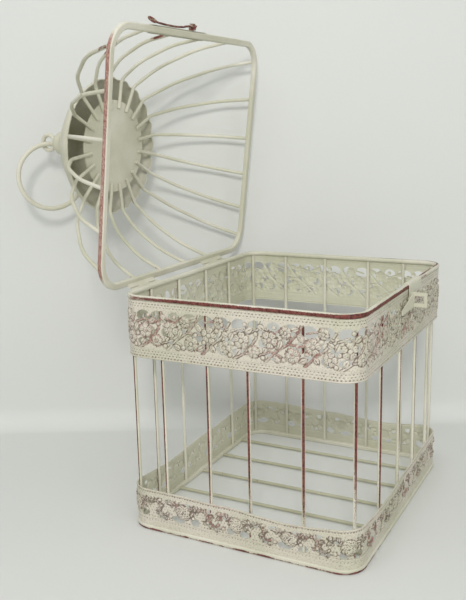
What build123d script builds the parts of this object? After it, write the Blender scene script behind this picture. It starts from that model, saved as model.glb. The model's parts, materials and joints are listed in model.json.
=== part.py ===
from build123d import *
import math
import os

# Wire card box in the shape of a bird cage, shown with its domed lid open.
# Frame: millimetres, +Z up, origin on the table at the centre of the base.
# The hinge side faces +Y and the latch side faces -Y.

# ---- box, overall ----
RIM_X = 127.0            # half size of the rims along X, at the centre of the bar
RIM_Y = 107.5            # half size of the rims along Y
CORNER = 18.0            # corner radius of the rims, at the centre of the bar
BOX_TOP = 217.0          # top of the upper rim
RIM_D = 4.6              # diameter of the upper rim
BASE_W = 5.0             # width of the base rim
BASE_H = 4.6             # height of the base rim
BAND_OUT = 1.6           # how far the outside of the bands stands outside the rim's centre
BAND_T = 0.9             # thickness of the sheet bands
TOP_BAND_LOW = 162.0     # lower edge of the upper band
WIRE_D = 3.0             # uprights and floor wires
WELD = 0.15              # depth that a welded wire end sinks into its bar

# ---- lid, in its own closed frame: origin at the centre of the lid frame ----
LID_X = 133.0            # half size of the lid frame along X, at the centre of the bar
LID_Y = 111.0            # half size of the lid frame along Y
LID_CORNER = 25.0
LID_W = 6.3              # width of the lid's bar
LID_H = 5.0              # height of the lid's bar
LID_Z = 221.4            # height of the lid frame's centre when closed
RIB_D = 3.5
OPEN_ANGLE = 83.3        # how far the lid stands open
HINGE_Y = 116.7          # hinge pin
HINGE_Z = 212.3

# ---- dome ----
SHOULDER_R = 67.0        # where the ribs turn in under the cap
SHOULDER_Z = 84.5
RIB_END_R = 38.0         # where the ribs stop on the plate
PLATE_R = 46.0
PLATE_T = 1.2
LEAN_PIVOT_Z = 70.0      # the hand-made dome leans a little about this height
LEAN_X = -4.0
LEAN_Y = 4.0
EYE_Z = 176.0            # centre of the eyelet
EYE_R = 8.0              # eyelet, centre of its bar
EYE_D = 4.6
RING_R = 34.6            # carry ring, centre of its bar
RING_D = 5.0
RING_DROP = 1.4          # how far the ring's bar hangs below the eyelet's centre
RING_TURN = 50.0         # direction that the ring faces, from +X towards +Y

# Half profiles of the cap and of the neck above it: radius, height.
CAP_OUTSIDE = ((68.6, 87.6), (67.5, 94), (59, 104.5), (46.5, 117), (32.5, 130), (20.5, 142), (12, 151))
CAP_INSIDE = (
    (67.4, 87.6), (66.2, 93.6), (58.1, 103.6), (45.6, 116.1), (31.6, 129.1), (20, 140.6), (11, 149.6),
)
NECK = ((12.0, 150.99), (11.8, 158.0), (8.5, 163.0), (4.4, 166.5), (4.4, 168.5))

# ---- hinges ----
HINGE_XS = (-74.0, 60.0)
LEAF_W = 42.0
KNUCKLE_R = 3.0
PIN_R = 1.2
RUN_GAP = 0.06           # running clearance round the pin
END_KNUCKLE = 12.0       # length of each outer knuckle
SIDE_GAP = 0.3           # gap between neighbouring knuckles
LEAF_T = 1.0             # sheet of the leaf on the box
LEAF_DROP = 12.0         # height of that leaf's plate on the band
LID_LEAF_T = 1.2         # sheet of the leaf on the lid
PIN_HEAD_R = 2.1
PIN_HEAD_T = 1.2

# ---- hook and keeper ----
HOOK_X = -5.0            # hook pin
HOOK_D = 2.2
HOOK_LEN = 68.0          # from the pin to the middle of the curl
HOOK_Y = -116.7          # middle of the hook when the lid is closed
CURL_R = 4.2
CURL_RISE = 1.5          # the curl's centre stands this far out from the shank
CURL_TILT = 35.0
STUD_R = 1.2             # stud that the hook turns on
STUD_LEN = 6.2
STUD_HEAD_R = 2.6
STUD_HEAD_T = 1.0
KEEPER_T = 1.0
KEEPER_X0 = 1.0          # left edge of the saddle over the rim
KEEPER_X1 = 38.0
SKIRT_LOW = 209.0        # lower edge of the saddle
FLAP_X1 = 14.0           # right edge of the flap that carries the lug
FLAP_LOW = 196.0
LUG_OUT = 126.0          # the lug stands out to here, square to the front
LUG_LOW = 197.0
LUG_HIGH = 210.0
LUG_SLOT = (-123.5, -114.8, 200.4, 207.0)  # slot in the lug: Y from, Y to, Z from, Z to
BRACE_X = -28.0          # tip of the slanted brace to the left of the lug
BRACE_RISE = 114.5       # how far out the brace meets the lug

# Uprights along each side, and the angles of the four in the corners.
NEAR_YS = (-61.6, -13.2, 24.6, 68.6)
FAR_YS = (-69.0, -31.0, 17.5, 64.0)
LATCH_XS = (-67.8, -13.2, 37.0, 83.6)
HINGE_SIDE_XS = (-81.0, -31.7, 21.0, 71.3)
CORNER_ANGLES = (45.0, 145.0, 232.0, 318.0)
FLOOR_XS = (-92.0, -46.0, 0.0, 46.0, 92.0)

# Ends of the ribs along the lid frame, in order round the frame from the +X, -Y corner.
RIB_FAR_YS = (-94.0, -54.0, -12.0, 27.0, 65.0, 97.0)
RIB_HINGE_XS = (62.0, 17.0, -29.0, -76.0)
RIB_NEAR_YS = (94.0, 60.0, 22.0, -18.0, -58.0, -94.0)
RIB_LATCH_XS = (-78.0, -32.0, 24.0, 77.0)

# Wavy top edge of the base band: distance along a side, height.
BASE_WAVE = ((-112, 39.5), (-95, 39.0), (-75, 36.5), (-50, 34.8), (-22, 36.4), (3, 38.6),
             (26, 38.0), (52, 39.4), (80, 40.4), (112, 40.0))
BASE_BAND_TOP = 42.0     # uncut height of the base band
WAVE_CUT_TOP = 60.0      # the wavy cutter reaches past the band
WAVE_CUT_OVER = 20.0


def save(name, shape):
    shape.label = name
    export_step(shape, os.path.join("parts", name + ".step"))


def rounded_loop(half_x, half_y, corner, offset=0.0):
    """Rounded rectangle face, grown by offset."""
    return RectangleRounded(2 * (half_x + offset), 2 * (half_y + offset), corner + offset)


def bar_loop(half_x, half_y, corner, width, height, edge):
    """Flat-sided bar bent into a rounded rectangle, standing on Z = 0."""
    outer = rounded_loop(half_x, half_y, corner, width / 2)
    inner = rounded_loop(half_x, half_y, corner, -width / 2)
    bar = extrude(outer - inner, height)
    top = bar.edges().group_by(Axis.Z)[-1]
    bottom = bar.edges().group_by(Axis.Z)[0]
    return fillet(top + bottom, edge)


def wire_along(path, diameter):
    """Round wire swept along a path."""
    section = Plane(origin=path @ 0, z_dir=path % 0) * Circle(diameter / 2)
    return sweep(section, path=path)


def rod(start, end, diameter):
    """Straight round rod between two points."""
    return wire_along(Line(start, end), diameter)


def box_between(low, high):
    """Block from its lowest corner to its highest corner."""
    size = [b - a for a, b in zip(low, high)]
    middle = [(a + b) / 2 for a, b in zip(low, high)]
    return Pos(*middle) * Box(*size)


# ---------------------------------------------------------------- box

def top_rim():
    path = rounded_loop(RIM_X, RIM_Y, CORNER).wire()
    path = path.moved(Pos(0, 0, BOX_TOP - RIM_D / 2))
    return wire_along(path, RIM_D)


def base_rim():
    return bar_loop(RIM_X, RIM_Y, CORNER, BASE_W, BASE_H, 1.4)


def band(low, high):
    """Sheet band that follows the rims, outside the uprights."""
    outer = rounded_loop(RIM_X, RIM_Y, CORNER, BAND_OUT)
    inner = rounded_loop(RIM_X, RIM_Y, CORNER, BAND_OUT - BAND_T)
    return Pos(0, 0, low) * extrude(outer - inner, high - low)


def wave_cutter(half_length, plane, half_depth):
    """Block above the wavy edge, for the two sides that face along the plane's normal."""
    scale = half_length / BASE_WAVE[-1][0]
    points = [(d * scale, z) for d, z in BASE_WAVE]
    edge = Spline(*points)
    far = half_length + WAVE_CUT_OVER
    corners = ((far, points[-1][1]), (far, WAVE_CUT_TOP), (-far, WAVE_CUT_TOP), (-far, points[0][1]))
    rest = Polyline(points[-1], *corners, points[0])
    return extrude(plane * make_face(edge + rest), half_depth, both=True)


def base_band():
    whole = band(BASE_H, BASE_BAND_TOP)
    along_y = wave_cutter(RIM_Y - 2, Plane.YZ, RIM_X + WAVE_CUT_OVER)
    along_x = wave_cutter(RIM_X - 2, Plane.XZ, RIM_Y + WAVE_CUT_OVER)
    return whole - along_y - along_x


def top_band():
    return band(TOP_BAND_LOW, BOX_TOP - RIM_D + 0.1)


def upright_places():
    """Plan positions of the uprights, just inside the bands."""
    inset = BAND_OUT - BAND_T - WIRE_D / 2 - 0.05
    side_x = RIM_X + inset
    side_y = RIM_Y + inset
    places = [(-side_x, y) for y in NEAR_YS]
    places += [(x, -side_y) for x in LATCH_XS]
    places += [(side_x, y) for y in FAR_YS]
    places += [(x, side_y) for x in HINGE_SIDE_XS]
    for degrees in CORNER_ANGLES:
        a = math.radians(degrees)
        cx = math.copysign(RIM_X - CORNER, math.cos(a))
        cy = math.copysign(RIM_Y - CORNER, math.sin(a))
        reach = CORNER + inset
        places.append((cx + reach * math.cos(a), cy + reach * math.sin(a)))
    return places


def upright(place):
    x, y = place
    return rod((x, y, BASE_H - WELD), (x, y, BOX_TOP - RIM_D + WELD), WIRE_D)


def floor_wire(x):
    reach = RIM_Y - BASE_W / 2 + WELD
    return rod((x, -reach, BASE_H / 2), (x, reach, BASE_H / 2), WIRE_D)


def brace():
    """Low slanted sheet that props the lug from the left, behind the hook's path."""
    foot = -(RIM_Y + RIM_D / 2 + 2.1)
    lug_x = KEEPER_X0 + KEEPER_T
    root = -(BRACE_RISE - KEEPER_T)
    wedge = ((BRACE_X, foot), (lug_x, root), (lug_x, -BRACE_RISE), (BRACE_X, foot - KEEPER_T))
    plan = Polyline(*wedge, close=True)
    sheet = Pos(0, 0, FLAP_LOW - 5) * extrude(make_face(plan), 2 * (LUG_HIGH - FLAP_LOW))
    seen = ((BRACE_X, FLAP_LOW - 1), (lug_x, LUG_LOW), (lug_x, LUG_HIGH), (BRACE_X, FLAP_LOW + 3))
    front = Polyline(*seen, close=True)
    outline = extrude(Plane.XZ * make_face(front), 2 * RIM_Y, both=True)
    return sheet & outline


def keeper_plate():
    """Saddle folded over the rim, with a flap and a slotted lug that stands out square to the front."""
    face_y = -(RIM_Y + RIM_D / 2 + 0.05)
    rim_z = BOX_TOP - RIM_D / 2
    length = KEEPER_X1 - KEEPER_X0
    fold = Circle(RIM_D / 2 + 0.05 + KEEPER_T) - Circle(RIM_D / 2 + 0.05)
    fold -= Pos(0, -5) * Rectangle(20, 10)
    middle_x = (KEEPER_X0 + KEEPER_X1) / 2
    fold = Pos(middle_x, -RIM_Y, rim_z) * extrude(Plane.YZ * fold, length / 2, both=True)
    skirt = box_between((KEEPER_X0, face_y - KEEPER_T, SKIRT_LOW), (KEEPER_X1, face_y, rim_z))
    flap = box_between((KEEPER_X0, face_y - KEEPER_T, FLAP_LOW), (FLAP_X1, face_y, rim_z))
    lug = box_between((KEEPER_X0, -LUG_OUT, LUG_LOW), (KEEPER_X0 + KEEPER_T, face_y, LUG_HIGH))
    slot_y0, slot_y1, slot_z0, slot_z1 = LUG_SLOT
    slot = box_between((KEEPER_X0 - 5, slot_y0, slot_z0), (KEEPER_X0 + 5, slot_y1, slot_z1))
    return fold + skirt + flap + brace() + lug - slot


def hinge_knuckle(x0, x1, hole_r):
    """Rolled knuckle round the hinge pin, from x0 to x1."""
    ring = Circle(KNUCKLE_R) - Circle(hole_r)
    return Pos(x0, HINGE_Y, HINGE_Z) * (Rot(0, 90, 0) * extrude(ring, x1 - x0))


def box_leaf(x):
    """Hinge leaf on the box: a plate on the band, a shelf and two outer knuckles."""
    x0 = x - LEAF_W / 2
    x1 = x + LEAF_W / 2
    back_y = RIM_Y + BAND_OUT + 0.02
    shelf_z = HINGE_Z - KNUCKLE_R
    plate = box_between((x0, back_y, shelf_z - LEAF_DROP), (x1, back_y + LEAF_T, shelf_z + LEAF_T))
    leaf = plate + box_between((x0, back_y, shelf_z), (x1, HINGE_Y, shelf_z + LEAF_T))
    notch_low = (x0 + END_KNUCKLE, HINGE_Y - KNUCKLE_R - 2 * SIDE_GAP, shelf_z - 1)
    leaf -= box_between(notch_low, (x1 - END_KNUCKLE, HINGE_Y + 5, HINGE_Z + 5))
    leaf -= Pos(x, HINGE_Y, HINGE_Z) * (Rot(0, 90, 0) * Cylinder(KNUCKLE_R - 0.4, LEAF_W + 2))
    leaf += hinge_knuckle(x0, x0 + END_KNUCKLE, PIN_R)
    leaf += hinge_knuckle(x1 - END_KNUCKLE, x1, PIN_R)
    return leaf


def hinge_pin(x):
    """Pin held by the outer knuckles, with a small head at each end."""
    half = LEAF_W / 2
    pin = Rot(0, 90, 0) * Cylinder(PIN_R, LEAF_W)
    for side in (-1, 1):
        head = Rot(0, 90, 0) * Cylinder(PIN_HEAD_R, PIN_HEAD_T)
        pin += Pos(side * (half + PIN_HEAD_T / 2), 0, 0) * head
    return Pos(x, HINGE_Y, HINGE_Z) * pin


# ---------------------------------------------------------------- lid, closed frame

def lean(shape):
    """Leans the dome's top, which is not quite square on its frame."""
    pivot = (0, 0, LEAN_PIVOT_Z)
    shape = shape.rotate(Axis(pivot, (1, 0, 0)), LEAN_X)
    return shape.rotate(Axis(pivot, (0, 1, 0)), LEAN_Y)


def lean_point(x, y, z):
    return lean(Vertex(x, y, z)).center()


def open_lid(shape):
    """Turns a shape that is drawn on the closed box to the open lid."""
    return shape.rotate(Axis((0, HINGE_Y, HINGE_Z), (1, 0, 0)), -OPEN_ANGLE)


def place_lid(shape):
    """Takes a shape from the lid's own frame to where it stands open."""
    return open_lid(Pos(0, 0, LID_Z) * shape)


def lid_frame():
    return Pos(0, 0, -LID_H / 2) * bar_loop(LID_X, LID_Y, LID_CORNER, LID_W, LID_H, 1.5)


def rib_feet():
    """Where each rib stands on the lid frame, with its direction on the plate."""
    feet = [(LID_X, y) for y in RIB_FAR_YS]
    feet += [(x, LID_Y) for x in RIB_HINGE_XS]
    feet += [(-LID_X, y) for y in RIB_NEAR_YS]
    feet += [(x, -LID_Y) for x in RIB_LATCH_XS]
    step = 360.0 / len(feet)
    snapped = []
    for i, (x, y) in enumerate(feet):
        straight_x = LID_X - LID_CORNER
        straight_y = LID_Y - LID_CORNER
        dx = abs(x) - straight_x
        dy = abs(y) - straight_y
        if dx > 0 and dy > 0:
            reach = LID_CORNER / math.hypot(dx, dy)
            x = math.copysign(straight_x + dx * reach, x)
            y = math.copysign(straight_y + dy * reach, y)
        snapped.append((x, y, -45.0 + step * i))
    return snapped


def rib(foot):
    """Wire rib: up from the frame in a bow, round the shoulder, in to the plate."""
    x, y, degrees = foot
    a = math.radians(degrees)
    start = Vector(x, y, LID_H / 2 - WELD)
    shoulder = lean_point(SHOULDER_R * math.cos(a), SHOULDER_R * math.sin(a), SHOULDER_Z)
    end = lean_point(RIB_END_R * math.cos(a), RIB_END_R * math.sin(a), SHOULDER_Z)
    reach = shoulder - start
    low = start + Vector(reach.X * 0.20, reach.Y * 0.20, reach.Z * 0.40)
    high = start + Vector(reach.X * 0.60, reach.Y * 0.60, reach.Z * 0.80)
    path = FilletPolyline(start, low, high, shoulder, end, radius=[95, 75, 12])
    return wire_along(path, RIB_D)


def inner_plate():
    under = SHOULDER_Z + RIB_D / 2 - WELD
    disc = Pos(0, 0, under + PLATE_T / 2) * Cylinder(PLATE_R, PLATE_T)
    return lean(disc)


def dome_cap():
    """Spun cap over the ribs' shoulders, open below, with a round seat on top."""
    outside = Spline(*CAP_OUTSIDE)
    inside = Spline(*CAP_INSIDE)
    top_z = CAP_OUTSIDE[-1][1]
    under_z = CAP_INSIDE[-1][1]
    seat = Polyline(CAP_OUTSIDE[-1], (0, top_z), (0, under_z), CAP_INSIDE[-1])
    lip = Line(CAP_INSIDE[0], CAP_OUTSIDE[0])
    face = make_face(outside + seat + inside + lip)
    return lean(revolve(Plane.XZ * face, Axis.Z))


def finial():
    """Turned neck on the cap, ending in an eyelet whose hole faces along X."""
    side = Polyline((0, NECK[0][1]), *NECK, (0, NECK[-1][1]), close=True)
    neck = revolve(Plane.XZ * make_face(side), Axis.Z)
    eye = Pos(0, 0, EYE_Z) * (Rot(0, 90, 0) * Torus(EYE_R, EYE_D / 2))
    hole = Pos(0, 0, EYE_Z) * (Rot(0, 90, 0) * Cylinder(EYE_R - EYE_D / 2, 4 * EYE_R))
    return lean(neck + eye - hole)


def lid_leaf(x):
    """Hinge leaf on the lid: one middle knuckle and a plate up to the lid's bar."""
    half = LEAF_W / 2 - END_KNUCKLE - SIDE_GAP
    knuckle = hinge_knuckle(x - half, x + half, PIN_R + RUN_GAP)
    to_bar = Vector(0, LID_Y - HINGE_Y, LID_Z - HINGE_Z)
    turn = math.degrees(math.atan2(to_bar.Z, to_bar.Y))
    reach = to_bar.length - LID_H / 2 + 0.3
    thick = LID_LEAF_T / 2
    narrow = box_between((-half, KNUCKLE_R - thick, -thick), (half, reach, thick))
    wide = box_between((-LEAF_W / 2, KNUCKLE_R + 0.8, -thick), (LEAF_W / 2, reach, thick))
    plate = Pos(x, HINGE_Y, HINGE_Z) * (Rot(turn, 0, 0) * (narrow + wide))
    return knuckle + plate


def hook_pin():
    """Stud on the lid's bar that the hook turns on."""
    root_y = -(LID_Y + LID_W / 2 - WELD)
    head = Cylinder(STUD_HEAD_R, STUD_HEAD_T)
    stem = Cylinder(STUD_R, STUD_LEN) + Pos(0, 0, (STUD_LEN + STUD_HEAD_T) / 2) * head
    return Pos(HOOK_X, root_y - STUD_LEN / 2, LID_Z) * (Rot(90, 0, 0) * stem)


def hook():
    """Wire hook: a coil on the stud, a long shank and a curled end."""
    bore = STUD_R + RUN_GAP
    coil = Rot(90, 0, 0) * (Cylinder(bore + HOOK_D, 2 * HOOK_D) - Cylinder(bore, 2 * HOOK_D + 2))
    curl = Pos(-HOOK_LEN, -CURL_RISE, 0) * (Rot(90 - CURL_TILT, 0, 0) * Torus(CURL_R, HOOK_D / 2))
    shank = rod((-(HOOK_LEN - CURL_R), 0, 0), (-(bore + HOOK_D / 2), 0, 0), HOOK_D)
    return Pos(HOOK_X, HOOK_Y, LID_Z) * (coil + shank + curl)


def eyelet_place():
    """Centre of the eyelet with the lid open."""
    return place_lid(lean(Vertex(0, 0, EYE_Z))).center()


def carry_ring():
    """Loose ring hanging through the eyelet."""
    centre = eyelet_place() - Vector(0, 0, RING_R + RING_DROP)
    ring = Rot(0, 90, 0) * Torus(RING_R, RING_D / 2)
    return Pos(*centre) * (Rot(0, 0, RING_TURN) * ring)


def build():
    save("top_rim", top_rim())
    save("base_rim", base_rim())
    save("top_band", top_band())
    save("base_band", base_band())
    for i, place in enumerate(upright_places(), 1):
        save(f"upright_{i:02d}", upright(place))
    for i, x in enumerate(FLOOR_XS, 1):
        save(f"floor_wire_{i}", floor_wire(x))
    save("keeper_plate", keeper_plate())
    save("hinge_leaves_box", Compound(children=[box_leaf(x) for x in HINGE_XS]))
    save("hinge_pins", Compound(children=[hinge_pin(x) for x in HINGE_XS]))
    save("lid_frame", place_lid(lid_frame()))
    for i, foot in enumerate(rib_feet(), 1):
        save(f"lid_rib_{i:02d}", place_lid(rib(foot)))
    save("inner_plate", place_lid(inner_plate()))
    save("dome_cap", place_lid(dome_cap()))
    save("finial_eyelet", place_lid(finial()))
    save("hinge_leaves_lid", Compound(children=[open_lid(lid_leaf(x)) for x in HINGE_XS]))
    save("hook_pin", open_lid(hook_pin()))
    save("latch_hook", open_lid(hook()))
    save("carry_ring", carry_ring())


os.makedirs("parts", exist_ok=True)
build()
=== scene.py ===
import json
import math

import bpy
import numpy as np
from mathutils import Matrix, Vector


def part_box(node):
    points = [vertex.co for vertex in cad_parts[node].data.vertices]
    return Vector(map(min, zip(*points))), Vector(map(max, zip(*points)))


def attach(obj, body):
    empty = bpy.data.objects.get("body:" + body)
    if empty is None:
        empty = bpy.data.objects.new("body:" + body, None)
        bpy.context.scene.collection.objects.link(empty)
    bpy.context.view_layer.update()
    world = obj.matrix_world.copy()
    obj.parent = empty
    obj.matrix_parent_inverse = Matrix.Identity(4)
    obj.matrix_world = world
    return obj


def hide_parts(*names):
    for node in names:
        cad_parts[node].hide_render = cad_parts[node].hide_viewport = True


# Wire card box in the shape of a bird cage. Frame: +Z up, hinge side +Y, latch side -Y, near side -X.
# Pieces are worked out in millimetres and scaled to metres as they become meshes. The stage, the
# lights and the camera are in metres. Noise scales are per metre.

MM = 0.001

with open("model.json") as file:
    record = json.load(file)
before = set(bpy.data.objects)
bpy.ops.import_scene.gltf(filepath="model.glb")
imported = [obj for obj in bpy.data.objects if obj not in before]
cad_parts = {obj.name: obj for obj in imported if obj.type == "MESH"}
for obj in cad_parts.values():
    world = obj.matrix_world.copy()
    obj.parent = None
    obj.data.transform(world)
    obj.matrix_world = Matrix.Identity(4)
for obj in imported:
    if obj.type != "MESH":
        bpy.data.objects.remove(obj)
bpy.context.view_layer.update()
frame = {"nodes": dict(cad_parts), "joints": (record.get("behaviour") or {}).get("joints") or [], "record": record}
joints = {j["name"]: j for j in frame["joints"]}

# ---- driving sizes, mm, read from the frame where it holds them ----
rim_low, rim_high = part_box("top_rim")
BAR = 4.6                                       # thickness of the rim bars
RIM_X = rim_high.x / MM - BAR / 2
RIM_Y = rim_high.y / MM - BAR / 2
BOX_TOP = rim_high.z / MM
CORNER = 18.0                                   # corner radius of the rims
BAND_OUT = 1.6                                  # outside of the bands from the rim's centre
SHEET = 0.9                                     # thickness of the bands
TOP_BAND_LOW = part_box("top_band")[0].z / MM
BASE_BAND_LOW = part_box("base_band")[0].z / MM
HINGE = Vector(joints["lid_hinge"]["pos_m"]) / MM
OPEN_ANGLE = math.radians(joints["lid_hinge"]["range_deg"][1])
LID_Z = 221.4                                   # lid frame's centre when closed
LEAN_PIVOT = 70.0                               # height that the dome leans about, in the lid
LEAN_X = math.radians(-4.0)
LEAN_Y = math.radians(4.0)

# ---- colours, sRGB 0 to 255 ----
CREAM = (219, 216, 202)
CREAM_WARM = (216, 208, 196)
SAGE = (190, 189, 166)
SAGE_DARK = (168, 167, 140)
SAGE_PALE = (204, 203, 184)
RUST = (124, 66, 58)
RUST_DARK = (70, 34, 31)
RUST_PALE = (164, 118, 108)
# Brown of the painted shade in the bands' recesses, also used for their dark flecks.
SHADE_AND_FLECK_BROWN = (86, 68, 56)


def linear(colour):
    """sRGB 0 to 255 as a linear RGBA colour."""
    values = [c / 255 for c in colour]
    return [v / 12.92 if v <= 0.04045 else ((v + 0.055) / 1.055) ** 2.4 for v in values] + [1.0]


# ================================================================ node materials

class Nodes:
    """Short names for the shader nodes that a material is built from."""

    def __init__(self, name):
        self.material = bpy.data.materials.new(name)
        self.material.use_nodes = True
        self.tree = self.material.node_tree
        self.tree.nodes.clear()
        self.output = self.tree.nodes.new("ShaderNodeOutputMaterial")
        self.shader = self.tree.nodes.new("ShaderNodeBsdfPrincipled")
        self.link(self.shader.outputs[0], self.output.inputs["Surface"])
        self.coords = self.tree.nodes.new("ShaderNodeTexCoord")
        self.place = self.coords.outputs["Object"]
        self.normal = self.coords.outputs["Normal"]

    def link(self, source, target):
        self.tree.links.new(source, target)

    def put(self, value, socket):
        if isinstance(value, bpy.types.NodeSocket):
            self.link(value, socket)
        else:
            socket.default_value = value

    def math(self, operation, a, b=0.0, clamp=False):
        node = self.tree.nodes.new("ShaderNodeMath")
        node.operation = operation
        node.use_clamp = clamp
        self.put(a, node.inputs[0])
        self.put(b, node.inputs[1])
        return node.outputs[0]

    def dot(self, a, b):
        node = self.tree.nodes.new("ShaderNodeVectorMath")
        node.operation = "DOT_PRODUCT"
        self.put(a, node.inputs[0])
        self.put(b, node.inputs[1])
        return node.outputs["Value"]

    def times(self, a, b):
        node = self.tree.nodes.new("ShaderNodeVectorMath")
        node.operation = "MULTIPLY"
        self.put(a, node.inputs[0])
        self.put(b, node.inputs[1])
        return node.outputs["Vector"]

    def noise(self, scale, detail=3.0, stretch=None, rough=0.55, shift=None):
        node = self.tree.nodes.new("ShaderNodeTexNoise")
        node.inputs["Scale"].default_value = scale
        node.inputs["Detail"].default_value = detail
        node.inputs["Roughness"].default_value = rough
        place = self.times(self.place, stretch) if stretch else self.place
        if shift:
            add = self.tree.nodes.new("ShaderNodeVectorMath")
            add.operation = "ADD"
            self.link(place, add.inputs[0])
            add.inputs[1].default_value = shift
            place = add.outputs["Vector"]
        self.link(place, node.inputs["Vector"])
        return node.outputs["Fac"]

    def step(self, value, low, high):
        """0 below low, 1 above high, smooth between."""
        node = self.tree.nodes.new("ShaderNodeMapRange")
        node.interpolation_type = "SMOOTHSTEP"
        self.put(value, node.inputs["Value"])
        self.put(low, node.inputs["From Min"])
        self.put(high, node.inputs["From Max"])
        return node.outputs["Result"]

    def mix(self, share, a, b):
        """Blends two colours. A Mix node's colour sockets are inputs 6 and 7 and output 2."""
        node = self.tree.nodes.new("ShaderNodeMix")
        node.data_type = "RGBA"
        self.put(share, node.inputs[0])
        self.put(a, node.inputs[6])
        self.put(b, node.inputs[7])
        return node.outputs[2]

    def attribute(self, name):
        node = self.tree.nodes.new("ShaderNodeAttribute")
        node.attribute_name = name
        return node.outputs["Fac"]

    def bump(self, height, distance, strength=1.0):
        node = self.tree.nodes.new("ShaderNodeBump")
        node.inputs["Distance"].default_value = distance
        node.inputs["Strength"].default_value = strength
        self.link(height, node.inputs["Height"])
        self.link(node.outputs[0], self.shader.inputs["Normal"])


def worn_paint(name, light, shade, wear, shade_and_flecks=None, bare_colours=(RUST, RUST_DARK)):
    """Brushed paint over red-brown primer. wear(nodes) gives where the paint is rubbed off, 0 to 1."""
    n = Nodes(name)
    broad = n.noise(14.0, 3.0)
    fine = n.noise(320.0, 4.0)
    grain = n.noise(1600.0, 2.0)
    clouds = n.math("MULTIPLY", n.step(broad, 0.35, 0.65), 0.65)
    tone = n.math("ADD", clouds, n.math("MULTIPLY", fine, 0.35))
    paint = n.mix(tone, linear(shade), linear(light))
    # Painted shade in the recesses, and dark flecks, mixed towards brown.
    if shade_and_flecks:
        paint = n.mix(shade_and_flecks(n), paint, linear(SHADE_AND_FLECK_BROWN))
    speck = n.step(n.noise(900.0, 2.0, shift=(3.1, 1.7, 0.4)), 0.70, 0.76)
    paint = n.mix(n.math("MULTIPLY", speck, 0.5), paint, linear(RUST_PALE))
    bare = wear(n)
    patchy = n.step(n.noise(520.0, 3.0, shift=(0.7, 2.3, 5.1)), 0.38, 0.66)
    rust = n.mix(patchy, linear(bare_colours[0]), linear(bare_colours[1]))
    n.link(n.mix(bare, paint, rust), n.shader.inputs["Base Color"])
    rough = n.math("ADD", 0.42, n.math("MULTIPLY", fine, 0.22))
    n.link(n.math("ADD", rough, n.math("MULTIPLY", bare, 0.18), True), n.shader.inputs["Roughness"])
    n.shader.inputs["Specular IOR Level"].default_value = 0.42
    relief = n.math("ADD", n.math("MULTIPLY", fine, 0.7), n.math("MULTIPLY", grain, 0.3))
    relief = n.math("SUBTRACT", relief, n.math("MULTIPLY", bare, 0.35))
    n.bump(relief, 0.00035, 0.55)
    return n.material


def ragged(n, value, softness=0.05, grain=700.0, amount=0.5, drift=0.3):
    """Turns a smooth field into a wear mask with a broken edge; the field's edge is at 0.5."""
    broken = n.math("MULTIPLY", n.math("SUBTRACT", n.noise(grain, 4.0, rough=0.7), 0.5), amount)
    longer = n.math("MULTIPLY", n.math("SUBTRACT", n.noise(90.0, 3.0), 0.5), drift)
    total = n.math("ADD", value, n.math("ADD", broken, longer))
    return n.step(total, 0.5 - softness, 0.5 + softness)


def outwards(n):
    """How far the surface faces away from the box's middle, -1 to 1, on the straight sides."""
    scaled = n.times(n.place, (1 / (RIM_X * MM), 1 / (RIM_Y * MM), 0.0))
    return n.dot(n.normal, scaled)


def rim_wear(n):
    """A rubbed line along the outside of the upper rim, strongest on the near and latch sides."""
    out = n.step(outwards(n), 0.35, 1.05)
    near = n.step(n.dot(n.place, (-1.0, -0.85, 0.0)), -0.02, 0.10)
    line = n.math("MULTIPLY", out, n.math("ADD", 0.22, n.math("MULTIPLY", near, 0.56)))
    corner = n.step(n.dot(n.place, (0.75, -1.0, 0.0)), 0.108, 0.135)
    upward = n.step(n.dot(n.normal, (0.25, 0.0, 1.0)), 0.72, 0.95)
    spot = n.math("MULTIPLY", n.math("MULTIPLY", corner, upward), 0.56)
    return ragged(n, n.math("MAXIMUM", line, spot), 0.12, 1100.0, 0.85, 0.5)


def base_rim_wear(n):
    """The lower outside edge, in long broken stretches."""
    out = n.step(outwards(n), 0.05, 0.9)
    low = n.step(n.dot(n.place, (0.0, 0.0, -1.0)), -0.0036, -0.0014)
    near = n.step(n.dot(n.place, (-1.0, 0.1, 0.0)), -0.05, 0.11)
    edge = n.math("MULTIPLY", out, low)
    line = n.math("MULTIPLY", edge, n.math("ADD", 0.26, n.math("MULTIPLY", near, 0.34)))
    return ragged(n, line, 0.12, 1000.0, 0.8, 0.9)


def upright_wear(n):
    """Long streaks down the outer faces, heavier on some wires and fading towards the base."""
    out = n.step(outwards(n), 0.45, 1.0)
    streak = n.noise(330.0, 4.0, (1.0, 1.0, 0.04), 0.6)
    each = n.step(n.noise(47.0, 1.0, (1.0, 1.0, 0.10), shift=(1.3, 0.2, 0.0)), 0.26, 0.62)
    high = n.step(n.dot(n.place, (0.0, 0.0, 1.0)), 0.03, 0.13)
    amount = n.math("ADD", n.math("MULTIPLY", streak, 0.50), n.math("MULTIPLY", each, 0.34))
    amount = n.math("ADD", amount, n.math("MULTIPLY", high, 0.34))
    return ragged(n, n.math("MULTIPLY", out, amount), 0.12, 1300.0, 0.75, 0.25)


def lid_frame_wear(n):
    """The near bar's outer face is rubbed to a speckled strip; elsewhere only the corners show it."""
    bar = n.step(n.dot(n.place, (-1.0, 0.0, 0.0)), 0.118, 0.130)
    face = n.step(n.dot(n.normal, (-1.0, 0.1, 0.0)), 0.45, 0.95)
    near = n.math("MULTIPLY", n.math("MULTIPLY", bar, face), 0.60)
    top = n.math("MULTIPLY", n.step(n.dot(n.place, (0.0, 0.0, 1.0)), 0.432, 0.4405), 0.26)
    return ragged(n, n.math("ADD", near, top), 0.14, 1500.0, 1.1, 0.15)


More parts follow.
